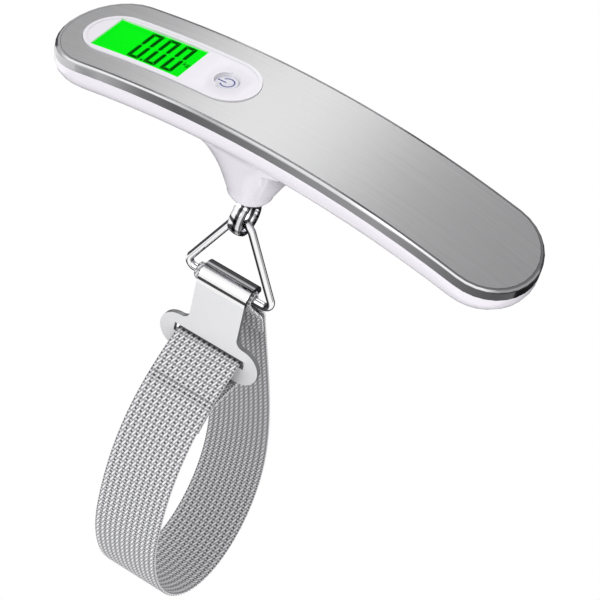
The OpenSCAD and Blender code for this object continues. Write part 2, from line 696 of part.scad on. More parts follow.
module hook_plate() color("gainsboro") {
    translate([0, -roll_in, 0]) rotate([90, 0, 0]) linear_extrude(hook_t) plate_outline();
    difference() {
        translate([-neck_w / 2, 0, bar_z]) rotate([0, 90, 0]) cylinder(r = roll_out, h = neck_w);
        translate([-neck_w / 2 - 1, 0, bar_z]) rotate([0, 90, 0]) cylinder(r = roll_in, h = neck_w + 2);
        translate([-neck_w, -10, bar_z - 10]) cube([2 * neck_w, 10, 10]);
        translate([-neck_w, -1, bar_z - 10]) cube([2 * neck_w, 10, 10.35]);
    }
}

lower_housing();
trim_band();
top_plate();
display_bezel();
display_window();
lcd_glass();
backlight();
contact_strips();
circuit_board();
board_parts();
power_switch();
power_button();
board_screws();
load_cell();
strain_gauges();
cell_screws();
hanger_bolt();
hanger_nut();
hanger_rivet();
hanger_eye();
battery_tray();
coin_cell();
contact_plus();
contact_minus();
battery_cap();
d_ring();
strap_webbing();
hook_plate();
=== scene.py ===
# %% [markdown]
# # A digital luggage scale
# A luggage scale is a grip with a display, and a strap under it that a bag hangs from. The construction model
# gives every rigid piece its shape and place. This script dresses it: finishes for plastic, metal and glass,
# the digits on the display, the power mark on the button, and the woven band with its stitches.

# %% Load the construction model
import json
import math

import bmesh
import bpy
import numpy as np
from mathutils import Euler, Matrix, Vector


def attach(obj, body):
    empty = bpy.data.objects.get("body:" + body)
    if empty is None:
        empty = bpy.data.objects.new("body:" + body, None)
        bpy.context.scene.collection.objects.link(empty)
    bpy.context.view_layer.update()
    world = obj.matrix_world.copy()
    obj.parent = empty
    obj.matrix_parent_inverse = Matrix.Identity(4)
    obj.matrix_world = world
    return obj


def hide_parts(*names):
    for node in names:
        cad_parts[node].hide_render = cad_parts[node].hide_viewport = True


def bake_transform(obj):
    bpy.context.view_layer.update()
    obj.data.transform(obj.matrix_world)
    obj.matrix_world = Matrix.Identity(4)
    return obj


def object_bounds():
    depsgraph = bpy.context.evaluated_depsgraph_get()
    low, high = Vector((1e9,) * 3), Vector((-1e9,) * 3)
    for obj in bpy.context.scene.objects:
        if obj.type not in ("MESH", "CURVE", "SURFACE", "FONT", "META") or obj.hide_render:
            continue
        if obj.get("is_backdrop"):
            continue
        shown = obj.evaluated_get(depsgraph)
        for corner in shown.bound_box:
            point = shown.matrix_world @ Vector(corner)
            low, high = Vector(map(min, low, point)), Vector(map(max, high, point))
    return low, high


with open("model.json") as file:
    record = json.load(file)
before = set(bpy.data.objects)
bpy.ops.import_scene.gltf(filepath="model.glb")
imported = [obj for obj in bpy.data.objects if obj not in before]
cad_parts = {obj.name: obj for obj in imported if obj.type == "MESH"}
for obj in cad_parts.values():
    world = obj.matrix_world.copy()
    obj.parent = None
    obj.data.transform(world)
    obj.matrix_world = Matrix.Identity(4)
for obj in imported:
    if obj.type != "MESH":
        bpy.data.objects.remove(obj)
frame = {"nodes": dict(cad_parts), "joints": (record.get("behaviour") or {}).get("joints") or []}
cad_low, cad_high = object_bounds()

MM = 0.001
print("construction box in mm:", [round((b - a) / MM, 1) for a, b in zip(cad_low, cad_high)])

# %% [markdown]
# ## The camera
# The camera stands in front of the grip, to its right, and looks down on it. It is rolled a little, so the
# grip falls away to the right. The long lens keeps the far end nearly as large as the near one. A camera can
# be turned by three angles, but a point to aim at, a direction and a roll are easier to read and to change.

# %% Camera
AIM = Vector((0.03226, -0.0233, -0.03559))
DISTANCE = 0.677
AZIMUTH = math.radians(23.1)
ELEVATION = math.radians(42.04)
ROLL = math.radians(14.12)
LENS = 153.16
SENSOR = 36

scene = bpy.context.scene
outward = Vector(
    (
        math.sin(AZIMUTH) * math.cos(ELEVATION),
        -math.cos(AZIMUTH) * math.cos(ELEVATION),
        math.sin(ELEVATION),
    )
)
camera_data = bpy.data.cameras.new("camera")
camera_data.lens = LENS
camera_data.sensor_width = SENSOR
camera = bpy.data.objects.new("camera", camera_data)
turn = (-outward).to_track_quat("-Z", "Y").to_matrix() @ Euler((0, 0, ROLL)).to_matrix()
camera.matrix_world = Matrix.Translation(AIM + outward * DISTANCE) @ turn.to_4x4()
scene.collection.objects.link(camera)
scene.camera = camera
scene.view_settings.view_transform = "Standard"
print("camera at", [round(c, 3) for c in camera.matrix_world.translation])

# %% [markdown]
# ## Shader expressions
# Every finish below is a small sum, such as a mask times a grey. In the shader editor each sum would be a
# chain of Math nodes. Here `Value` wraps one socket of a shader tree, so `mask * 0.5 + 0.2` adds those nodes
# by itself, and a finish reads like the rule that it follows.


# %% A value that can be used in sums
class Value:
    """A socket of a shader tree that can be used in sums and products."""

    def __init__(self, tree, socket):
        self.tree, self.socket = tree, socket

    def node(self, kind, settings=None, out=0, **inputs):
        """Adds a node of this kind: its settings first, then the values or links of its sockets."""
        made = self.tree.nodes.new(kind)
        for name, value in (settings or {}).items():
            if name == "stops":
                ramp = made.color_ramp
                while len(ramp.elements) < len(value):
                    ramp.elements.new(0.5)
                for element, (place, colour) in zip(ramp.elements, value):
                    element.position, element.color = place, colour
            else:
                setattr(made, name, value)
        for name, value in inputs.items():
            key = int(name[1:]) if name[0] == "i" and name[1:].isdigit() else name.replace("_", " ")
            if isinstance(value, Value):
                self.tree.links.new(value.socket, made.inputs[key])
            else:
                made.inputs[key].default_value = value
        return Value(self.tree, made.outputs[out])

    def math(self, operation, *values):
        """A Math node on these values, in their order."""
        return self.node(
            "ShaderNodeMath", {"operation": operation}, **{f"i{k}": v for k, v in enumerate(values)}
        )

    def __add__(self, other):
        return self.math("ADD", self, other)

    def __sub__(self, other):
        return self.math("SUBTRACT", self, other)

    def __mul__(self, other):
        return self.math("MULTIPLY", self, other)

    def __truediv__(self, other):
        return self.math("DIVIDE", self, other)

    def __rsub__(self, other):
        return self.math("SUBTRACT", other, self)

    def __pow__(self, other):
        return self.math("POWER", self, other)

    def __gt__(self, other):
        return self.math("GREATER_THAN", self, other)

    def __mod__(self, other):
        return self.math("FLOORED_MODULO", self, other)

    __radd__, __rmul__ = __add__, __mul__

    def root(self):
        return self.math("SQRT", self)

    def magnitude(self):
        return self.math("ABSOLUTE", self)

    def at_least(self, other):
        return self.math("MAXIMUM", self, other)

    def clamp(self):
        return self.node("ShaderNodeClamp", Value=self)

    def between(self, low, high):
        """0 below low, 1 above high, and smooth between them."""
        return self.node(
            "ShaderNodeMapRange", {"interpolation_type": "SMOOTHSTEP"}, i0=self, i1=low, i2=high
        )

    def within(self, rise, fall):
        """1 between two soft ends and 0 outside them. Each end is a pair, where it starts and stops."""
        return self.between(*rise) * (1 - self.between(*fall))

    def near(self, place, close, far):
        """1 where this value is close to a place, and 0 far from it."""
        return 1 - (self - place).magnitude().between(close, far)

    def parts(self):
        split = self.node("ShaderNodeSeparateXYZ", Vector=self).socket.node
        return [Value(self.tree, split.outputs[k]) for k in range(3)]

    def colours(self, first, second):
        """A mix of two colours, with this value as the share of the second."""
        return self.node(
            "ShaderNodeMix",
            {"data_type": "RGBA"},
            out=2,
            i0=self,
            i6=first if isinstance(first, Value) else (*first, 1),
            i7=second if isinstance(second, Value) else (*second, 1),
        )


print("operations of a value:", [name for name in vars(Value) if name[0] != "_"])

# %% [markdown]
# A finish is a Principled material. Colours are chosen as they show on a screen, and a shader works with
# linear light, so `linear` turns one into the other. A real surface is never perfectly even, and `grain`
# lets its roughness vary finely, which is what keeps plastic from looking like glass.


# %% Colours and finishes
def linear(*screen):
    """A colour given in screen values from 0 to 255, as the shader's linear values."""
    unit = [c / 255 for c in screen]
    return tuple(u / 12.92 if u <= 0.04045 else ((u + 0.055) / 1.055) ** 2.4 for u in unit)


class Finish:
    """A Principled material, with the start of a shader expression."""

    def __init__(self, name, colour=None, **sockets):
        self.material = bpy.data.materials.new(name)
        self.material.use_nodes = True
        self.tree = self.material.node_tree
        self.shader = self.tree.nodes["Principled BSDF"]
        if colour:
            self.shader.inputs["Base Color"].default_value = (*colour, 1)
        for key, value in sockets.items():
            self.shader.inputs[key.replace("_", " ")].default_value = value
        self.start = Value(self.tree, self.shader.outputs[0])

    def place(self):
        """The point on the piece, in metres."""
        return self.start.node("ShaderNodeTexCoord", out=3)

    def uv(self):
        return self.start.node("ShaderNodeTexCoord", out=2)

    def facing(self):
        """The direction the surface faces, as three values."""
        return self.start.node("ShaderNodeTexCoord", out=1).parts()

    def feed(self, socket, value):
        self.tree.links.new(value.socket, self.shader.inputs[socket])

    def noise(self, vector, scale, detail=2.0):
        return self.start.node("ShaderNodeTexNoise", Vector=vector, Scale=scale, Detail=detail)

    def grain(self, scale, spread, least):
        """Lets the roughness vary finely, from least to least + spread."""
        self.feed("Roughness", self.noise(self.place(), scale) * spread + least)

    def bump(self, height, strength, distance):
        self.feed(
            "Normal",
            self.start.node("ShaderNodeBump", Strength=strength, Distance=distance, Height=height),
        )


print("a middle grey of 128 is", round(linear(128)[0], 3), "in linear light")

# %% [markdown]
# ## The grip's arc
# The grip is an arc, highest at its middle. The origin lies above the strap, 10 mm left of that middle. The
# rim's finish needs the arc, and the display and the button lie square to it at one point each. `on_arch`
# gives the frame there: X runs along the grip, Z points out of it. The height of the ring's bar, which the
# strap turns round, is read from the strap's joint.

# %% The arc and the bar
ARCH_R = 306 * MM
ARCH_MIDDLE = 10 * MM
ARCH_DROP = math.sqrt(ARCH_R**2 - ARCH_MIDDLE**2)
BEZEL_X = -31.6 * MM
WINDOW_X = -38.9 * MM
BAR_Z = next(joint["pos_m"][2] for joint in frame["joints"] if joint["name"] == "strap_swing")


def on_arch(x):
    tilt = math.asin((x - ARCH_MIDDLE) / ARCH_R)
    height = ARCH_R * math.cos(tilt) - ARCH_DROP
    return Matrix.Translation((x, 0, height)) @ Matrix.Rotation(tilt, 4, "Y")


button_frame = on_arch(BEZEL_X)
window_frame = on_arch(WINDOW_X)
print("display's middle in mm:", [round(c / MM, 2) for c in window_frame.translation])

# %% [markdown]
# ## Plastics
# The shell and the display surround are moulded in white plastic with a breath of lilac. The shell is
# polished in the mould and the parts inside are only satin. A clear coat over a rougher base gives the deep
# gloss of polished plastic better than a low roughness alone.

# %% White plastics
shell = Finish("glossy_white_shell", linear(248, 244, 251), Coat_Weight=0.4, Coat_Roughness=0.08)
shell.grain(900.0, 0.06, 0.19)
surround = Finish("white_display_surround", linear(233, 231, 236), Coat_Weight=0.2, Coat_Roughness=0.25)
surround.grain(1200.0, 0.06, 0.28)
inner_white = Finish("satin_white_moulding", linear(232, 230, 235))
inner_white.grain(1500.0, 0.15, 0.38)
print("white plastics:", [finish.material.name for finish in (shell, surround, inner_white)])

# %% [markdown]
# ## Brushed metal
# The plate is brushed along the grip: thousands of fine scratches, each far longer than it is wide. An image
# of scratches would do, but noise that is stretched along X has no seams and no end. A fine and a coarse
# layer of it change the colour, the roughness and the bump together, as real scratches do.

# %% Brushed plate
plate_steel = Finish("brushed_steel_plate", Metallic=1.0)


def scratches(finish, along, across, up):
    """Noise that is drawn out along X. Each number says how many grains fit in a metre that way."""
    x, y, z = finish.place().parts()
    drawn_out = finish.start.node("ShaderNodeCombineXYZ", X=x * along, Y=y * across, Z=z * up)
    return finish.noise(drawn_out, 1.0)


fine = scratches(plate_steel, 40.0, 7000.0, 200.0)
coarse = scratches(plate_steel, 9.0, 1800.0, 40.0)
streaks = fine * 0.65 + coarse * 0.35
plate_steel.feed(
    "Base Color", streaks.between(0.3, 0.7).colours(linear(199, 199, 199), linear(209, 209, 209))
)
plate_steel.feed("Roughness", streaks * 0.1 + 0.32)
plate_steel.bump(streaks, 0.03, 0.05 * MM)
print("brushed plate:", len(plate_steel.tree.nodes), "nodes")

# %% [markdown]
# ## The rim
# The rim round the plate is mirror chrome. It shows three stripes: a thin dark ledge beside the plate, a
# bright bevel, and a side that is dark along most of its length. A mirror takes its tones from the room, and
# a plain stage has too little in it for that, so these reflections are painted on the metal as its colour:
# along the rim by X, and across it by how far the surface faces upward and how deep it lies below the arc.


# %% Rim chrome
def greys(value, *stops):
    """A ramp of plain greys, each stop a place from 0 to 1 and a screen tone."""
    points = [(place, (*linear(tone, tone, tone + 2), 1)) for place, tone in stops]
    return value.node("ShaderNodeValToRGB", {"stops": points}, i0=value)


RIM_LEFT = -60 * MM
RIM_LENGTH = 140 * MM
# painted reflection on the side of the rim: one grey for each place along it, from its left end to its right
SIDE_REFLECTION_STOPS = [
    (0, 205),
    (0.1, 185),
    (0.22, 118),
    (0.3, 95),
    (0.45, 116),
    (0.6, 140),
    (0.75, 148),
    (0.88, 122),
    (1, 84),
]

rim_chrome = Finish("rim_chrome", Metallic=1.0, Roughness=0.12)
x, _, z = rim_chrome.place().parts()
_, _, upward = rim_chrome.facing()
side_reflection = greys((x - RIM_LEFT) / RIM_LENGTH, *SIDE_REFLECTION_STOPS)

# painted highlight: the middle of the rim catches the light, so its bevel and its ledge are painted paler
# there
lit = x.within((-28 * MM, -4 * MM), (32 * MM, 58 * MM))
bevel_highlight = lit.colours(linear(236, 236, 237), linear(150, 150, 152))
ledge_reflection = lit.colours(linear(156, 156, 158), linear(104, 104, 106))
# painted highlight: past the left tip the ledge is painted nearly white
past_tip = x.between(-58 * MM, -46 * MM)
ledge_reflection = past_tip.colours(linear(222, 222, 224), ledge_reflection)

# the painted highlight covers only the uppermost third of a millimetre of the bevel
beyond = x - ARCH_MIDDLE
arc_top = (ARCH_R**2 - beyond * beyond).root() - ARCH_DROP
lower_bevel = (arc_top - z).between(0.34 * MM, 0.5 * MM)
bevel_highlight = lower_bevel.colours(bevel_highlight, side_reflection)
on_bevel = upward.between(0.25, 0.5)
on_ledge = upward.between(0.8, 0.92)
rim_chrome.feed("Base Color", on_ledge.colours(on_bevel.colours(side_reflection, bevel_highlight), ledge_reflection))
print("rim chrome:", len(rim_chrome.tree.nodes), "nodes")

# %% [markdown]
# ## The ring
# The ring is bent from round chrome wire. Chrome wire shows a dark reflection along one flank. It would come
# by itself in a room full of dark things. Here the flank is found by the way the surface faces, and that dark
# reflection is painted on it.

# %% Ring chrome
RIGHT_FLANK = (0.66, 0.65, 0.38)
LOWER_FLANK = (0.86, -0.11, -0.49)


def turned_to(facing, way):
    """How far a surface faces one way, from -1 to 1."""
    return facing[0] * way[0] + facing[1] * way[1] + facing[2] * way[2]


wire_chrome = Finish("ring_chrome", Metallic=1.0)
x, _, _ = wire_chrome.place().parts()
wire_facing = wire_chrome.facing()
right_leg = x.between(-1 * MM, 1 * MM)
to_right = turned_to(wire_facing, RIGHT_FLANK)
flanks = 1 - to_right.between(-0.6, -0.36) + to_right.between(0.55, 0.8) * 0.35
lower_flank = turned_to(wire_facing, LOWER_FLANK).between(0.66, 0.84) * 0.8
# painted reflection: the dark flank of the right leg and the lower flank elsewhere are painted dark grey
painted_reflection = right_leg * flanks + (1 - right_leg) * lower_flank
wire_chrome.feed("Base Color", painted_reflection.colours(linear(248, 248, 249), linear(74, 74, 76)))
wire_chrome.grain(300.0, 0.02, 0.03)
print("ring chrome:", len(wire_chrome.tree.nodes), "nodes")

# %% [markdown]
# ## The eye
# The eye that carries the ring is a broad bent band with a crowned face. Light and dark lines that follow its
# loop are painted reflections. They run side by side across the band, so one ramp over X draws them all.

# %% Eye chrome
EYE_W = 4.2 * MM
# painted reflections: light and dark greys across the band, from one side to the other
EYE_REFLECTION_STOPS = [
    (0, 150),
    (0.14, 250),
    (0.36, 250),
    (0.44, 62),
    (0.62, 44),
    (0.7, 215),
    (0.84, 235),
    (0.92, 66),
    (1, 120),
]

eye_chrome = Finish("eye_chrome", Metallic=1.0)
x, _, _ = eye_chrome.place().parts()
eye_chrome.feed("Base Color", greys(x / EYE_W + 0.5, *EYE_REFLECTION_STOPS))
eye_chrome.grain(300.0, 0.05, 0.08)
print("eye chrome:", len(EYE_REFLECTION_STOPS), "stops")

# %% [markdown]
# ## The hook plate
# The hook plate is pressed steel. Its front is tumbled to a pale satin, and only the roll that carries the
# strap is polished. Its cut edges and back are painted a darker grey as shade, and the roll gets a painted
# reflection: pale at the front and dark grey on its top and back. Three materials could be put on three sets
# of faces, but the metal is one piece, so one finish changes over it: by height for the roll, and for the
# rest by the way that the surface faces. Bare metal mirrors too much to look satin, so Metallic is turned
# down there.

# %% Hook steel
ROLL_EDGE = BAR_Z - 0.53 * MM
ROLL_SOFT = 0.2 * MM
SATIN_VEIL = 0.78
EDGE_VEIL = 0.55
DULLNESS = 0.28

hook_steel = Finish("satin_pressed_steel")
_, _, z = hook_steel.place().parts()
_, backward, _ = hook_steel.facing()
roll = z.between(ROLL_EDGE - ROLL_SOFT, ROLL_EDGE + ROLL_SOFT)
below_roll = 1 - roll
edges = backward.between(-0.8, -0.5)
satin = below_roll * (1 - edges)
mottle = hook_steel.noise(hook_steel.place(), 160.0, 3.0)
hook_steel.feed("Metallic", 1 - satin * SATIN_VEIL - below_roll * edges * EDGE_VEIL)
hook_steel.feed("Roughness", mottle * 0.03 + 0.07 + below_roll * DULLNESS)
# painted reflection on the polished roll: pale where it faces the front, grey higher up, dark grey on its top
# and back
roll_reflection = backward.between(-0.55, -0.4).colours(linear(243, 243, 243), linear(150, 150, 152))
roll_reflection = backward.between(-0.15, 0.1).colours(roll_reflection, linear(84, 84, 86))
# painted shade: the cut edges and back are a darker grey than the satin front
satin_and_edge_shade = edges.colours(linear(238, 238, 240), linear(142, 142, 144))
hook_steel.feed("Base Color", roll.colours(satin_and_edge_shade, roll_reflection))
print("hook steel: the roll starts at", round(ROLL_EDGE / MM, 2), "mm")

# %% [markdown]
# ## Small metal parts
# The screws and the cell are zinc or nickel plated, the load cell is milled from a light alloy, and the
# battery contacts are gold plated. They are hidden, so one plain metal with a fine grain does for each.


# %% Plain metals
def plain_metal(name, colour, scale, spread, least):
    finish = Finish(name, colour, Metallic=1.0)
    finish.grain(scale, spread, least)
    return finish


zinc = plain_metal("zinc_plate", linear(176, 178, 182), 2000.0, 0.2, 0.28)
alloy = plain_metal("milled_alloy", linear(190, 191, 195), 1800.0, 0.2, 0.3)
gold = plain_metal("gold_contact", linear(212, 176, 98), 2200.0, 0.15, 0.25)
print("plain metals:", [finish.material.name for finish in (zinc, alloy, gold)])

# %% [markdown]
# ## The display
# A liquid crystal cell is a sandwich of glass with a green lamp behind it. A lamp under real glass would be
# slow and noisy to render, so the cell itself glows, and it has no sheen that would wash its green out. The
# window over it is almost fully clear, and all that is left of it is its gloss.

# %% Lit cell and window
lcd = Finish(
    "lit_green_cell", (0.0, 0.05, 0.0), Roughness=0.5, Specular_IOR_Level=0.0, Emission_Strength=0.97
)
glow = lcd.noise(lcd.place(), 60.0).between(0.3, 0.7)
lcd.feed("Emission Color", glow.colours(linear(6, 243, 26), linear(2, 252, 18)))
window = Finish("clear_window", linear(20, 60, 24), Alpha=0.03)
window.grain(500.0, 0.02, 0.02)
print("lit cell:", len(lcd.tree.nodes), "nodes")

# %% [markdown]
# ## Board, button and inks
# The electronics are a green board with black parts, foil gauges and rubber contact strips under a milky
# diffuser. The button is a silvery cap with a clear coat. The inks are printed: a green so dark that it
# reads as black on the lit cell, and a navy on the button. All are plain finishes with a fine grain.


# %% Plain finishes
def plain(name, colour, scale, spread, least, **sockets):
    finish = Finish(name, colour, **sockets)
    finish.grain(scale, spread, least)
    return finish


diffuser = plain("diffuser", linear(214, 230, 214), 900.0, 0.2, 0.4)
rubber = plain("black_rubber", linear(38, 38, 40), 1600.0, 0.2, 0.6)
board = plain("green_board", linear(24, 92, 52), 800.0, 0.2, 0.3)
chip = plain("black_chip", linear(34, 34, 36), 1600.0, 0.2, 0.4)
foil = plain("gauge_foil", linear(206, 132, 60), 2600.0, 0.2, 0.3)
button_cap = plain(
    "silvery_cap", linear(222, 222, 230), 900.0, 0.1, 0.26, Coat_Weight=0.6, Coat_Roughness=0.1
)
ink_dark = plain("display_black", linear(0, 74, 3), 1500.0, 0.1, 0.45, Specular_IOR_Level=0.0)
ink_navy = plain("navy_ink", linear(66, 70, 146), 1500.0, 0.1, 0.35)
print("materials so far:", len(bpy.data.materials))

# %% [markdown]
# ## Dress the construction pieces
# Each construction piece gets its finish by name, so a glance at the table tells what it is made of. The
# webbing's own solid is replaced by the woven band further down.

# %% Finish by piece
FINISHES = {
    "lower_housing": shell,
    "trim_band": rim_chrome,
    "top_plate": plate_steel,
    "display_bezel": surround,
    "display_window": window,
    "lcd_glass": lcd,
    "backlight": diffuser,
    "contact_strips": rubber,
    "circuit_board": board,
    "board_parts": chip,
    "power_switch": chip,
    "power_button": button_cap,
    "board_screws": zinc,
    "load_cell": alloy,
    "strain_gauges": foil,
    "cell_screws": zinc,
    "hanger_bolt": zinc,
    "hanger_nut": zinc,
    "hanger_rivet": zinc,
    "hanger_eye": eye_chrome,
    "battery_tray": inner_white,
    "coin_cell": zinc,
    "contact_plus": gold,
    "contact_minus": gold,
    "battery_cap": inner_white,
    "d_ring": wire_chrome,
    "strap_webbing": rubber,
    "hook_plate": hook_steel,
}
for node, finish in FINISHES.items():
    mesh = frame["nodes"][node].data
    mesh.materials.clear()
    mesh.materials.append(finish.material)
print(len(FINISHES), "construction pieces finished")

# %% [markdown]
# The construction meshes are loose triangles, so their curved walls would show every facet. A Weld joins
# their points, and an Edge Split keeps the real edges crisp. Both are modifiers, because then the curved
# walls shade smoothly without a change to the pieces themselves.

# %% Smooth the curved walls
SMOOTH_UP_TO = math.radians(32)
WELD_WITHIN = 0.002 * MM
for piece in frame["nodes"].values():
    weld = piece.modifiers.new("join_points", "WELD")
    weld.merge_threshold = WELD_WITHIN
    split = piece.modifiers.new("crisp_edges", "EDGE_SPLIT")
    split.split_angle = SMOOTH_UP_TO
    for face in piece.data.polygons:
        face.use_smooth = True
print("edges stay crisp above", round(math.degrees(SMOOTH_UP_TO)), "degrees")

# %% [markdown]
# ## Made pieces
# Prints and cloth are too fine for the construction model, so they are modelled here, flat and near the
# origin, where their sizes are easy to think about. Then `settle` moves the points of the mesh to their place
# and leaves the object itself untransformed, so patterns and exports read the true place of each point.


# %% Select, settle and join
def deselect():
    bpy.ops.object.select_all(action="DESELECT")


def only(piece):
    """Selects this piece alone and makes it active."""
    deselect()
    piece.select_set(True)
    bpy.context.view_layer.objects.active = piece


def settle(piece, place, finish, name, body):
    """Puts a piece in its place, with the place in its mesh. It rides on the body, if one is named."""
    piece.data.transform(place @ piece.matrix_world)
    piece.matrix_world = Matrix.Identity(4)
    piece.name = name
    piece.data.name = name
    piece.data.materials.clear()
    piece.data.materials.append(finish.material)
    if body:
        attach(piece, body)
    return piece


def joined(pieces):
    """Several pieces as one object."""
    only(pieces[0])
    for piece in pieces:
        piece.select_set(True)
    bpy.ops.object.join()
    return bpy.context.object


# %% [markdown]
# ## The digits
# The display shows zeros made of seven-segment bars, and a zero has every bar but the middle one. A font
# could give digits, but not these blunt and mitred ends. So one bar is modelled and used for all: a flat box
# whose upright edges are bevelled. Where two bars meet at a corner, only the inner edge is bevelled, across
# nearly the whole width, as a mitre. Halfway up, both edges are bevelled a little, to a blunt point.

# %% One bar of a digit
WINDOW_LEFT = -14.4 * MM
WINDOW_FRONT = -7.7 * MM
INK_LEVEL = -0.725 * MM
INK_T = 0.03 * MM
BAR_W = 1.1 * MM
MITRE = 0.94
BLUNT = 0.4


def bar(start, end, inner=0, mitred=(False, False), width=BAR_W):
    """A flat bar from start to end. A mitred end slants on the inner side: 1 is left of its way, -1 right."""
    a, b = Vector((*start, INK_LEVEL)), Vector((*end, INK_LEVEL))
    half = (b - a).length / 2
    deselect()
    bpy.ops.mesh.primitive_cube_add(size=1, location=(a + b) / 2)
    piece = bpy.context.object
    piece.scale = (2 * half, width, INK_T)
    bpy.ops.object.transform_apply(location=False, rotation=False, scale=True)
    bpy.ops.object.mode_set(mode="EDIT")
    for end_way, slanted in zip((-1, 1), mitred):
        bpy.ops.mesh.select_all(action="DESELECT")
        bm = bmesh.from_edit_mesh(piece.data)
        for edge in bm.edges:
            first, last = (vert.co for vert in edge.verts)
            upright = abs(first.z - last.z) > INK_T / 2
            at_this_end = first.x * end_way > 0.98 * half
            if upright and at_this_end and (first.y * inner > 0 or not slanted):
                edge.select_set(True)
        bmesh.update_edit_mesh(piece.data)
        bpy.ops.mesh.bevel(offset=width * (MITRE if slanted else BLUNT), segments=1, affect="EDGES")
    bpy.ops.object.mode_set(mode="OBJECT")
    piece.rotation_euler.z = math.atan2(b.y - a.y, b.x - a.x)
    bpy.ops.object.transform_apply(location=False, rotation=True, scale=False)
    return piece


print("a bar is", round(BAR_W / MM, 2), "mm wide")

# %% [markdown]
# The three zeros stand in a row with equal steps. Each has two level bars and four upright ones, with a small
# gap between any two. The point is one more short bar.

# %% Three zeros and a point
DIGIT_LEFT = [10.9 * MM, 16.3 * MM, 21.7 * MM]
DIGIT_W = 3.75 * MM
DIGIT_H = 13.35 * MM
DIGIT_FOOT = 1.6 * MM
GAP = 0.14 * MM
POINT = 0.85 * MM
POINT_X = 15.55 * MM

low = WINDOW_FRONT + DIGIT_FOOT
high = low + DIGIT_H
mid = (low + high) / 2
bars = []
for digit_left in DIGIT_LEFT:
    left = WINDOW_LEFT + digit_left
    right = left + DIGIT_W
    for y, inner in ((low + BAR_W / 2, 1), (high - BAR_W / 2, -1)):
        bars.append(bar((left + GAP, y), (right - GAP, y), inner, (True, True)))
    for x, inner in ((left + BAR_W / 2, -1), (right - BAR_W / 2, 1)):
        bars.append(bar((x, low + GAP), (x, mid - 1.5 * GAP), inner, (True, False)))
        bars.append(bar((x, mid + 1.5 * GAP), (x, high - GAP), inner, (False, True)))
point_x = WINDOW_LEFT + POINT_X
point_y = low + POINT / 2
bars.append(bar((point_x - POINT / 2, point_y), (point_x + POINT / 2, point_y), width=POINT))
print("bars:", len(bars))

# %% [markdown]
# The unit is small plain text. Text has an extrusion of its own, so it gets the thickness of the ink before
# it is made a mesh. Then it is joined to the bars, because all of it is one print on one glass.

# %% The unit
UNIT_X = 25.9 * MM
UNIT_Y = 6.3 * MM
UNIT_SIZE = 2.4 * MM

deselect()
bpy.ops.object.text_add(location=(WINDOW_LEFT + UNIT_X, WINDOW_FRONT + UNIT_Y, INK_LEVEL))
unit = bpy.context.object
unit.data.body = "kg"
unit.data.size = UNIT_SIZE
unit.data.extrude = INK_T / 2
bpy.ops.object.convert(target="MESH")
bpy.ops.object.transform_apply(location=True, rotation=True, scale=True)
digits = settle(joined(bars + [unit]), window_frame, ink_dark, "display_digits", "grip")
print("display digits:", len(digits.data.polygons), "faces")

# %% [markdown]
# ## The power mark
# The mark on the button is a broken circle with a bar through the break. A bevelled curve would give a round
# section. The print is flat, so a small flat profile is spun round the middle of the button instead.

# %% Broken circle
MARK_R = 1.95 * MM
MARK_W = 0.4 * MM
MARK_T = 0.04 * MM
BREAK = math.radians(70)
SPIN_STEPS = 40

deselect()
bpy.ops.mesh.primitive_plane_add(size=1, location=(0, 0, 0))
ring = bpy.context.object
ring.scale = (MARK_W, MARK_T, 1)
bpy.ops.object.transform_apply(location=False, rotation=False, scale=True)
ring.data.transform(Matrix.Translation((MARK_R, 0, 0)) @ Matrix.Rotation(math.pi / 2, 4, "X"))
ring.data.transform(Matrix.Rotation(math.pi - BREAK / 2, 4, "Z"))
bpy.ops.object.mode_set(mode="EDIT")
bpy.ops.mesh.select_all(action="SELECT")
bpy.ops.mesh.spin(steps=SPIN_STEPS, angle=2 * math.pi - BREAK, center=(0, 0, 0), axis=(0, 0, 1))
bpy.ops.mesh.select_all(action="SELECT")
bpy.ops.mesh.remove_doubles(threshold=0.001 * MM)
bpy.ops.mesh.normals_make_consistent(inside=False)
bpy.ops.object.mode_set(mode="OBJECT")
print("broken circle:", len(ring.data.polygons), "faces")

# %% [markdown]
# The bar is a thin box, cut into five so that it can bend. The button's top is a shallow dish, so the points
# of both rise with the square of their distance from its middle, as a dish does.

# %% Bar, and the button's dish
TICK_L = 2.6 * MM
TICK_X = -1.7 * MM
TICK_CUTS = 4
BUTTON_U = 17.7 * MM
CAP_LEVEL = -1.5 * MM
DISH_R = 40 * MM
MARK_SHIFT_X = 0.25 * MM
MARK_SHIFT_Y = 0.1 * MM

deselect()
bpy.ops.mesh.primitive_cube_add(size=1, location=(TICK_X, 0, 0))
tick = bpy.context.object
tick.scale = (TICK_L, MARK_W, MARK_T)
bpy.ops.object.transform_apply(location=True, rotation=False, scale=True)
bpy.ops.object.mode_set(mode="EDIT")
bpy.ops.mesh.subdivide(number_cuts=TICK_CUTS)
bpy.ops.object.mode_set(mode="OBJECT")
mark = joined([ring, tick])
for point in mark.data.vertices:
    point.co.z += (point.co.x**2 + point.co.y**2) / (2 * DISH_R)
on_button = button_frame @ Matrix.Translation((BUTTON_U + MARK_SHIFT_X, MARK_SHIFT_Y, CAP_LEVEL))
mark = settle(mark, on_button, ink_navy, "power_mark", "power_button")
print("power mark:", len(mark.data.polygons), "faces")

# %% [markdown]
# ## The woven band
# The band is one strip of webbing, 22 mm wide. It is sewn round the bar of the ring, runs down and back up as
# a loop, turns through the slot of the hook plate and is sewn to itself. A cloth simulation would let it
# hang, but a band this stiff keeps the bends that it was sewn with. So its path is drawn, with an arc at each
# metal edge and a Bezier curve for each free run, all in the plane of Y and Z.

# %% Lines in the plane of Y and Z
def direction(degrees):
    return np.array([math.cos(math.radians(degrees)), math.sin(math.radians(degrees))])


def at(y, z):
    return np.array([y, z]) * MM


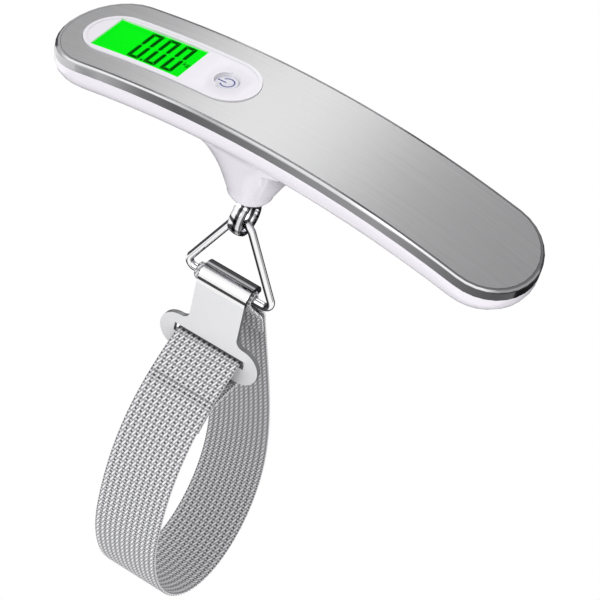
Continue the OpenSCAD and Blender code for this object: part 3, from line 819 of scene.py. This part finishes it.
def arc(centre, radius, first, last, steps):
    return [centre + radius * direction(first + (last - first) * i / steps) for i in range(steps + 1)]


def bezier(points, t):
    a, b, c, d = points
    return (1 - t) ** 3 * a + 3 * t * (1 - t) ** 2 * b + 3 * t * t * (1 - t) * c + t**3 * d


def curve(points, steps):
    return [bezier(points, i / steps) for i in range(1, steps + 1)]


def beside(points, by):
    """The same line, moved sideways to its left."""
    points = np.array(points)
    way = np.gradient(points, axis=0)
    left = np.stack([-way[:, 1], way[:, 0]], 1)
    return points + by * left / np.linalg.norm(left, axis=1)[:, None]


print("a quarter turn goes to", np.round(direction(90), 3))

# %% [markdown]
# The band turns round two pieces of metal: the bar of the ring, and the strip of hook plate under the slot,
# which it goes over and then under. Each turn has half the metal's thickness as its radius, plus a little
# slack, plus half the band's thickness. From the ring the band leans back, and it comes up to the slot on a
# slant.

# %% Turns at the ring and at the slot
WEB_W = 22 * MM
WEB_T = 1.2 * MM
WIRE_R = 1.2 * MM
RUN_GAP = 0.2 * MM
HOOK_T = 1.6 * MM
FOLD_SLACK = 0.1 * MM
FOLD_BELOW_BAR = 22.2 * MM
STRIP_H = 5.9 * MM
BACK_LEAN = 18.7
FRONT_RISE = 28.0

wrap_r = WIRE_R + RUN_GAP + WEB_T / 2
fold_r = HOOK_T / 2 + FOLD_SLACK + WEB_T / 2
bar_c = np.array([0, BAR_Z])
back_dir = direction(BACK_LEAN - 90)
back_start = bar_c + wrap_r * direction(BACK_LEAN)
plate_y = -(WIRE_R + RUN_GAP + WEB_T + RUN_GAP + HOOK_T / 2)
slot_c = np.array([plate_y, BAR_Z - FOLD_BELOW_BAR])
low_c = slot_c - [0, STRIP_H]
front_end = slot_c + fold_r * direction(90 + FRONT_RISE)
print("turns in mm: round the bar", round(wrap_r / MM, 2), "and through the slot", round(fold_r / MM, 2))

# %% [markdown]
# Four Bezier curves make the free loop: one down the back, two round the bottom and one up the front. Where
# one ends and the next begins, their handles lie in one line, so the band has no kink. The two sewn ends lie
# flat on the band, so they follow the same curves, one thickness further in.

# %% The whole route
SEWN = WEB_T + 0.05 * MM
SEAM_FROM = 0.64
SEAM_STEP = 0.012
TAIL_FROM = 0.085
TAIL_STEP = 0.011
BACK_MID = at(31, -163)
BOTTOM = at(9, -193.6)
FRONT_MID = at(-32.4, -141)
back_q = [back_start, back_start + 35 * MM * back_dir, at(31, -138), BACK_MID]
low_q = [BACK_MID, at(31, -181), at(22, -193.6), BOTTOM]
rise_q = [BOTTOM, at(-12, -193.6), at(-32.4, -165), FRONT_MID]
front_q = [FRONT_MID, at(-32.4, -118), front_end - 25 * MM * direction(FRONT_RISE), front_end]

seam = beside([bezier(front_q, SEAM_FROM + SEAM_STEP * i) for i in range(13)], -SEWN)
seam_way = (seam[-1] - seam[-2]) / np.linalg.norm(seam[-1] - seam[-2])
tail = beside([bezier(back_q, TAIL_FROM + TAIL_STEP * i) for i in range(7)], -SEWN)
gap = tail[0] - bar_c
leave = math.degrees(math.atan2(gap[1], gap[0]) - math.acos(wrap_r / np.linalg.norm(gap))) + 360
turn_q = [low_c - [0, fold_r], low_c - [4 * MM, fold_r], seam[-1] + 1.5 * MM * seam_way, seam[-1]]
route = np.array(
    list(tail[::-1])
    + arc(bar_c, wrap_r, leave, BACK_LEAN, 26)
    + curve(back_q, 40)
    + curve(low_q, 20)
    + curve(rise_q, 34)
    + curve(front_q, 40)
    + arc(slot_c, fold_r, 82 + FRONT_RISE, 0, 12)
    + arc(low_c, fold_r, 0, -90, 8)
    + curve(turn_q, 10)
    + list(seam[:-1][::-1])
)
steps = np.linalg.norm(np.diff(route, axis=0), axis=1)
travel = np.concatenate([[0], np.cumsum(steps)])
WEB_LENGTH = travel[-1]
print("webbing length in mm:", round(WEB_LENGTH / MM, 1))

# %% [markdown]
# ## The weave
# Twelve cords run the length of the band, and a thread crosses them every 1.1 mm. Single threads would be far
# too many faces, and bump alone would leave the edges straight. So a grid is laid as a flat tube, with
# three columns to a cord and three rows to a thread. Its columns cross the outer face, go round the edge,
# cross the back and go round again, and each point is lifted a little where a thread comes over.

# %% A grid for the band
CORDS = 12
ACROSS = 3 * CORDS
PICK = 1.1 * MM
ROWS = 3 * int(round(WEB_LENGTH / PICK))
AROUND = 2 * ACROSS + 6

deselect()
bpy.ops.mesh.primitive_grid_add(x_subdivisions=AROUND, y_subdivisions=ROWS, size=1)
band = bpy.context.object
flat = np.zeros(len(band.data.vertices) * 3)
band.data.vertices.foreach_get("co", flat)
flat = flat.reshape(-1, 3)
column = np.rint((flat[:, 0] + 0.5) * AROUND).astype(int) % AROUND
row = (flat[:, 1] + 0.5) * ROWS

on_back = (column > ACROSS + 1) & (column < AROUND - 1)
crossing = np.clip(np.where(on_back, AROUND - 3 - column, column), 0, ACROSS) / ACROSS
crossing = np.where(column >= AROUND - 2, 0.0, crossing)
on_edge = (column > ACROSS) & (column < ACROSS + 3) | (column > AROUND - 3)
face_side = np.where(on_back, -1.0, 1.0)
print("band:", len(band.data.polygons), "faces,", ROWS, "rows")

# %% [markdown]
# The relief is the sum of two waves, one over the cords and one over the crossing threads. It is shallow,
# because webbing is beaten tight: 0.14 mm from the top of a cord to the bottom of a pit.

# %% Relief of the cords
RELIEF = 0.14 * MM
FACE_IN = 0.1 * MM
EDGE_ROUND = 0.5 * MM
EDGE_IN = 0.08 * MM
EDGE_WAVE = 0.06 * MM
EDGE_THICK = 0.2

cord = 0.5 - 0.5 * np.cos(2 * math.pi * crossing * CORDS)
pick = 0.5 - 0.5 * np.cos(2 * math.pi * row / 3)
lift = RELIEF * (0.7 * cord + 0.3 * pick - 0.5)
across = (crossing - 0.5) * (WEB_W - EDGE_ROUND)
thick = face_side * (WEB_T / 2 - FACE_IN + lift)
edge_way = np.where(crossing > 0.5, 1.0, -1.0)
across = np.where(on_edge, edge_way * (WEB_W / 2 - EDGE_IN + EDGE_WAVE * pick), across)
thick = np.where(on_edge, face_side * WEB_T * EDGE_THICK, thick)
print("band's thickness in mm:", round(float(thick.max() - thick.min()) / MM, 2))

# %% [markdown]
# Now the flat grid is laid along the route. Each row finds its place and its way by the length travelled, and
# its points stand off the route at a right angle. Inside the roll of the hook plate the band is squeezed a
# little and sits to the left.

# %% Lay the band along the route
SQUEEZE = 0.12
SHIFT_LEFT = 0.9 * MM
SQUEEZE_BELOW_BAR = 7.5 * MM
SQUEEZE_OVER = 4 * MM

length_at = row / ROWS * WEB_LENGTH
way = np.gradient(route, travel, axis=0)
way /= np.linalg.norm(way, axis=1)[:, None]
py, pz = (np.interp(length_at, travel, route[:, k]) for k in range(2))
wy, wz = (np.interp(length_at, travel, way[:, k]) for k in range(2))
way_size = np.hypot(wy, wz)
wy, wz = wy / way_size, wz / way_size

squeezed = np.clip((pz - BAR_Z + SQUEEZE_BELOW_BAR) / SQUEEZE_OVER, 0, 1)
squeezed = squeezed * squeezed * (3 - 2 * squeezed)
across = across * (1 - SQUEEZE * squeezed) - SHIFT_LEFT * squeezed
placed = np.stack([across, py - thick * wz, pz + thick * wy], 1)
band.data.vertices.foreach_set("co", placed.ravel())
bpy.ops.object.mode_set(mode="EDIT")
bpy.ops.mesh.select_all(action="SELECT")
bpy.ops.mesh.remove_doubles(threshold=0.001 * MM)
bpy.ops.mesh.normals_make_consistent(inside=False)
bpy.ops.object.mode_set(mode="OBJECT")
bpy.ops.object.shade_smooth()
print("band hangs down to", round(float(placed[:, 2].min()) / MM, 1), "mm")

# %% [markdown]
# The yarn is silver grey, with thin slanting lines of painted shade in the grooves where its strands lie side
# by side. The pits between the cords are painted dark as shade: round ones at every second thread, and wider,
# paler ones between. An image of cloth would blur close up, so the pattern is worked out from the band's own
# UV map: U counts the cords, V counts the threads, and the remainder of each says how far a point lies from
# the nearest pit. It bends with the band.

# %% Woven finish
PIT_LENGTH = 0.62
SECOND_WIDER = 0.8
SECOND_PALER = 0.25
LINE_DEPTH = 0.9

weave = Finish("silver_grey_weave", Roughness=0.8, Specular_IOR_Level=0.3)
u, v, _ = weave.uv().parts()
cord_at = u * (AROUND / 3)
pick_at = v * (ROWS / 3)
cord_off = (cord_at + 0.5) % 1.0 - 0.5
pick_off = (pick_at + 0.5) % 1.0 - 0.5
second = ((pick_at + 0.5) * 0.5 % 1.0) > 0.5
wide = 1 + second * SECOND_WIDER
distance = ((cord_off / wide) ** 2.0 + (pick_off * PIT_LENGTH) ** 2.0).root()
# painted shade in the pits between the cords
pit_shade = (1 - distance.between(0.13, 0.3)) * (1 - second * SECOND_PALER)
# painted shade in the thin grooves between the strands
slant = (cord_at * 2.0 - pick_at * 0.5) % 1.0
lines = slant.near(0.5, 0.08, 0.3)
fuzz = weave.noise(weave.place(), 1800.0, 3.0)
yarn = fuzz.colours(linear(232, 231, 233), linear(250, 250, 251))
lined = (lines * LINE_DEPTH).colours(yarn, linear(140, 139, 142))
woven = pit_shade.colours(lined, linear(82, 81, 84))
print("woven finish:", len(weave.tree.nodes), "nodes")

# %% [markdown]
# Shade is painted on the cloth: it is darker inside the loop, in the crease at the slot and along its two
# seams. U tells the inside from the outside. V runs along the whole band, so the crease and the seams are
# found as lengths of band. Where two such places meet, the darker one counts.

# %% Crease and seams
SEAMS = (0.805, 0.768)
INSIDE_FROM_U = 0.49
INSIDE_SHADE = 0.2
CREASE_SHADE = 0.75
SEAM_SHADE = 0.35


def length_to(point):
    """The length of band from its sewn end to the place nearest to a point of the path."""
    return float(travel[np.argmin(np.linalg.norm(route - point, axis=1))])


along = v * WEB_LENGTH
crease_at = length_to(slot_c + fold_r * direction(90))
# painted shade: inside the loop, in the crease at the slot and along the two seams
inside = (u > INSIDE_FROM_U) * INSIDE_SHADE
dark = inside.at_least(along.near(crease_at, 0.3 * MM, 1.5 * MM) * CREASE_SHADE)
for t in SEAMS:
    seam_at = length_to(bezier(front_q, t))
    dark = dark.at_least(along.near(seam_at, 0.25 * MM, 0.5 * MM) * SEAM_SHADE)
weave.feed("Base Color", dark.colours(woven, linear(16, 16, 18)))
weave.bump(fuzz, 0.25, 0.1 * MM)

band = settle(band, Matrix.Identity(4), weave, "woven_band", None)
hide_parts("strap_webbing")
print("crease in the slot, mm along the band:", round(crease_at / MM, 1))

# %% [markdown]
# ## Stitches
# Two rows of thread cross the band where its end is sewn down below the hook plate. A real row is one thread
# that dives through the cloth, but only its top shows. So one stitch is a stretched ball with few faces, sunk
# by half into the outer face, and it is copied along each row.

# %% Rows of stitches
STITCH_L = 1.25 * MM
STITCH_R = 0.14 * MM
STITCHES = 15
STITCH_STEP = WEB_W / (STITCHES + 0.4)

thread = Finish("sewing_thread", linear(236, 236, 238), Roughness=0.6)
thread.bump(thread.noise(thread.place(), 3000.0), 0.3, 0.05 * MM)
stitches = []
for t in SEAMS:
    here = bezier(front_q, t)
    ahead = bezier(front_q, t + 0.01) - here
    ahead /= np.linalg.norm(ahead)
    outer = here + np.array([-ahead[1], ahead[0]]) * WEB_T / 2
    for i in range(STITCHES):
        x = (i - (STITCHES - 1) / 2) * STITCH_STEP
        deselect()
        bpy.ops.mesh.primitive_uv_sphere_add(
            segments=8, ring_count=5, radius=STITCH_R, location=(x, outer[0], outer[1])
        )
        stitch = bpy.context.object
        stitch.scale = (STITCH_L / 2 / STITCH_R, 1, 1)
        bpy.ops.object.transform_apply(location=False, rotation=False, scale=True)
        bpy.ops.object.shade_smooth()
        stitches.append(stitch)
rows = settle(joined(stitches), Matrix.Identity(4), thread, "stitch_rows", None)
print("stitches:", len(stitches))

# %% [markdown]
# When the hook plate lifts, the front of the loop goes up with it, and the sewn end stays round the bar. A
# piece that rides on one body would tear away from the other. Here the band and its stitches ride on no body,
# and their places are baked into their meshes.

# %% Band between strap and hook
for piece in (band, rows):
    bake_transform(piece)

# %% [markdown]
# ## The floor
# The floor is plain and pale, well below the hanging scale. To the eye it should be clean white, but it
# should light the scale no more than paint does. The Light Path node tells the rays apart: one from the
# camera, through the clear window or off a shiny face meets an even white glow, and soft light meets paint.

# %% Floor
FLOOR_SIZE = 24
FLOOR_BELOW = 0.34

deselect()
bpy.ops.mesh.primitive_plane_add(size=FLOOR_SIZE, location=(0, 0, cad_low[2] - FLOOR_BELOW))
floor = bpy.context.object
floor.name = "floor"
floor_finish = Finish("pale_floor", (0.93, 0.93, 0.93), Roughness=0.9)
path = floor_finish.start.node("ShaderNodeLightPath").socket.node
camera_ray, glossy_ray, clear_ray = (
    Value(floor_finish.tree, path.outputs[f"Is {kind} Ray"]) for kind in ("Camera", "Glossy", "Transmission")
)
white = floor_finish.start.node("ShaderNodeEmission", Color=(1, 1, 1, 1), Strength=1.0)
print("floor at", round((cad_low[2] - FLOOR_BELOW) / MM), "mm")

# %% [markdown]
# Bright metal looks like metal only when it has something dark to mirror. In a studio, black cards are set
# round it. Here two cards are painted on the floor, one behind the grip and one in front, and only mirror
# rays see them. They make the dark lines along the ring's wire. The rear card has an opening, and the pale
# floor that shows through it keeps the left end of the rim bright.

# %% Dark cards
CARD_SLOPE = 0.83
CARD_START = -0.243
CARD_FRONT = -0.58

place_x, place_y, _ = floor_finish.place().parts()
card_edge = (place_x * CARD_SLOPE + CARD_START).at_least(CARD_FRONT)
back_card = (place_y - card_edge).between(-0.04, 0.04)
opening = place_x.within((-1.0, -0.9), (-0.5, -0.42)) * place_y.within((-0.85, -0.75), (0.4, 0.5))
back_card = back_card * (1 - opening)
left_of_middle = 1 - (place_x + place_y * -0.1).between(-0.1, 0.15)
front_card = (1 - place_y.between(-1.0, -0.85)) * left_of_middle
cards = (back_card + front_card).clamp()

card_black = floor_finish.start.node("ShaderNodeEmission", Color=(0.06, 0.06, 0.065, 1), Strength=1.0)
share = (camera_ray + clear_ray + glossy_ray * (1 - cards)).clamp()
carded = floor_finish.start.node(
    "ShaderNodeMixShader", i0=glossy_ray * cards, i1=floor_finish.start, i2=card_black
)
mixed = floor_finish.start.node("ShaderNodeMixShader", i0=share, i1=carded, i2=white)
floor_finish.tree.links.new(
    mixed.socket, floor_finish.tree.nodes["Material Output"].inputs["Surface"]
)
floor.data.materials.append(floor_finish.material)
floor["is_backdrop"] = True
print("floor finish:", len(floor_finish.tree.nodes), "nodes")

# %% [markdown]
# ## The sky
# An even sky is the softest light there is, and it leaves the plastic clean. Metal needs a change of tone to
# mirror. So mirror rays see a darker sky behind the grip, darkest to the right, which gives the brushed plate
# its slow shift from pale to grey. All other rays see the plain one.

# %% Sky
SKY_PLAIN = (0.93, 0.93, 0.94)
SKY_FRONT = (1.0, 1.0, 1.0)
SKY_BEHIND_LEFT = (0.5, 0.5, 0.51)
SKY_BEHIND_RIGHT = (0.36, 0.36, 0.37)

world = bpy.data.worlds.new("studio")
scene.world = world
world.use_nodes = True
sky_tree = world.node_tree
backdrop = sky_tree.nodes["Background"]
sky = Value(sky_tree, backdrop.outputs[0])
rightward, backward, _ = sky.node("ShaderNodeTexCoord", out=0).parts()
behind = rightward.between(-0.1, 0.4).colours(SKY_BEHIND_LEFT, SKY_BEHIND_RIGHT)
mirror_sky = backward.between(-0.35, 0.1).colours(SKY_FRONT, behind)
rays = sky.node("ShaderNodeLightPath").socket.node
mirrored = Value(sky_tree, rays.outputs["Is Glossy Ray"])
sky_tree.links.new(mirrored.colours(SKY_PLAIN, mirror_sky).socket, backdrop.inputs["Color"])
backdrop.inputs["Strength"].default_value = 1.0
print("sky:", len(sky_tree.nodes), "nodes")

# %% [markdown]
# ## Lamps
# Two round soft lamps give the sky's light a direction. The one behind shines on the plate at a low angle,
# and the larger one in front lifts the strap and the underside. An area lamp shines along its own -Z, so it
# is turned until that points at its aim.


# %% Lamps
def lamp(name, stand, aim, size, power):
    data = bpy.data.lights.new(name, "AREA")
    data.shape = "DISK"
    data.size = size
    data.energy = power
    made = bpy.data.objects.new(name, data)
    turned = (Vector(aim) - Vector(stand)).to_track_quat("-Z", "Y").to_matrix()
    made.matrix_world = Matrix.Translation(stand) @ turned.to_4x4()
    scene.collection.objects.link(made)


lamp("back_light", (-0.55, 1.05, 1.0), (0, 0, -0.03), 0.6, 1.5)
lamp("front_light", (-0.42, -1.4, 1.0), (0, 0, -0.08), 1.0, 4.0)
print("lamps:", [light.name for light in bpy.data.lights])

# %% [markdown]
# ## Finish
# The two boxes are kept, so that the dressed object can be set against the construction model.

# %% Sizes and end
low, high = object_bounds()
print("visual box in mm:", [round((b - a) / MM, 1) for a, b in zip(low, high)])
